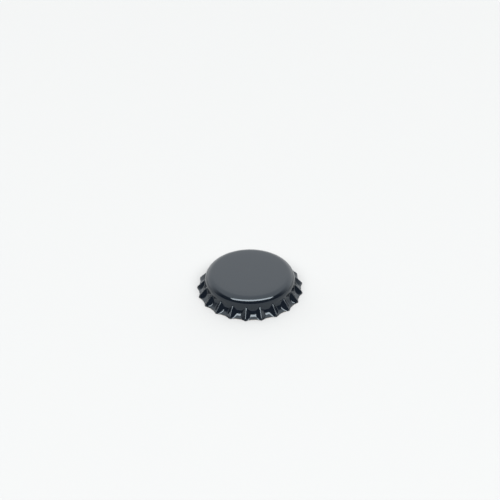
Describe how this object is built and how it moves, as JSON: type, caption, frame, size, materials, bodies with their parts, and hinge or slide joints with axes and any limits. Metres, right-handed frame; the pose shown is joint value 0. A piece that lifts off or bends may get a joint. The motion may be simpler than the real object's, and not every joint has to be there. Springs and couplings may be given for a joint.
{
  "type": "crown bottle cap",
  "caption": "Pressed steel crown bottle cap with a flat top, rounded corner and flared toothed skirt, black lacquered, with a moulded plastic sealing liner inside.",
  "frame": {"origin": "centre of the lip circle, on the surface that the cap stands on", "axes": "+Z along the cap's axis towards the top panel, -Y towards one tooth at the front, +X to the right seen from the front"},
  "size_m": [0.0322, 0.032, 0.006],
  "materials": {
    "black_lacquered_tinplate": "glossy black lacquer on tin-plated sheet steel",
    "liner_plastic": "satin off-white moulded soft plastic"
  },
  "bodies": {
    "root": {"crown_shell": "black_lacquered_tinplate", "sealing_liner": "liner_plastic"}
  },
  "joints": []
}
